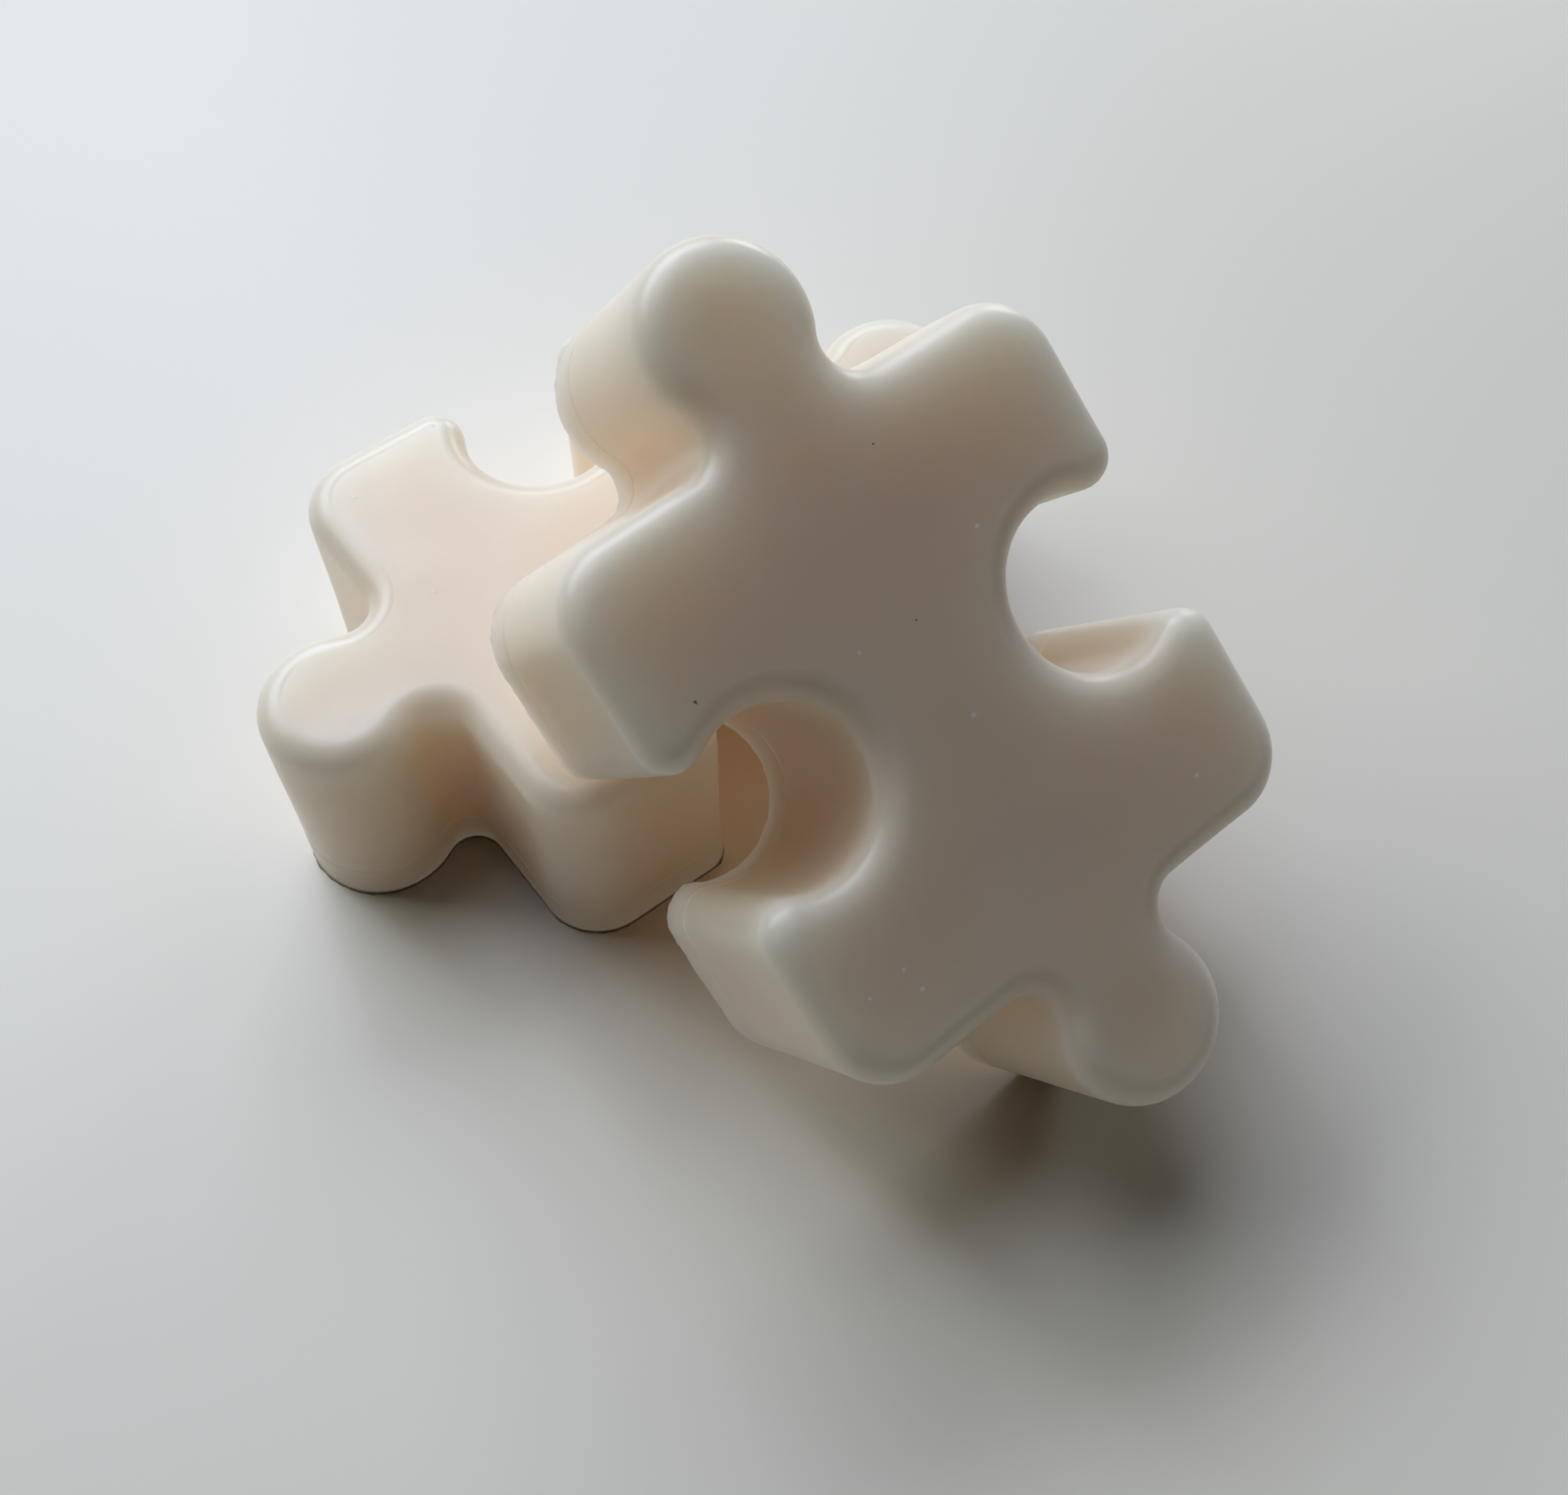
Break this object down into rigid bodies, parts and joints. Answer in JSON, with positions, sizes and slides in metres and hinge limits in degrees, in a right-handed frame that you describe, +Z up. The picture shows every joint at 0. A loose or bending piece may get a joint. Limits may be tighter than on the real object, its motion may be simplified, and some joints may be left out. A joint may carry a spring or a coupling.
{
  "type": "jigsaw soap bars",
  "caption": "Jigsaw-shaped cast soap bars with round knobs and matching sockets, one lying flat and one leaning on its edge.",
  "frame": {"origin": "centre of the lying bar's flat underside, on the surface that both bars rest on", "axes": "+Z up, +X along the lying bar's line of knobs, +Y along its line of sockets, with the leaning bar at its -Y side"},
  "size_m": [0.0654, 0.0795, 0.0538],
  "materials": {
    "soap": "satin, slightly translucent soap"
  },
  "bodies": {
    "lying_bar": {"lying_piece": "soap"},
    "leaning_bar": {"leaning_piece": "soap"}
  },
  "joints": [
    {"name": "lift_off", "type": "slide", "parent": "lying_bar", "child": "leaning_bar", "axis": [0, 0, 1], "range_m": [0, 0.06]}
  ]
}
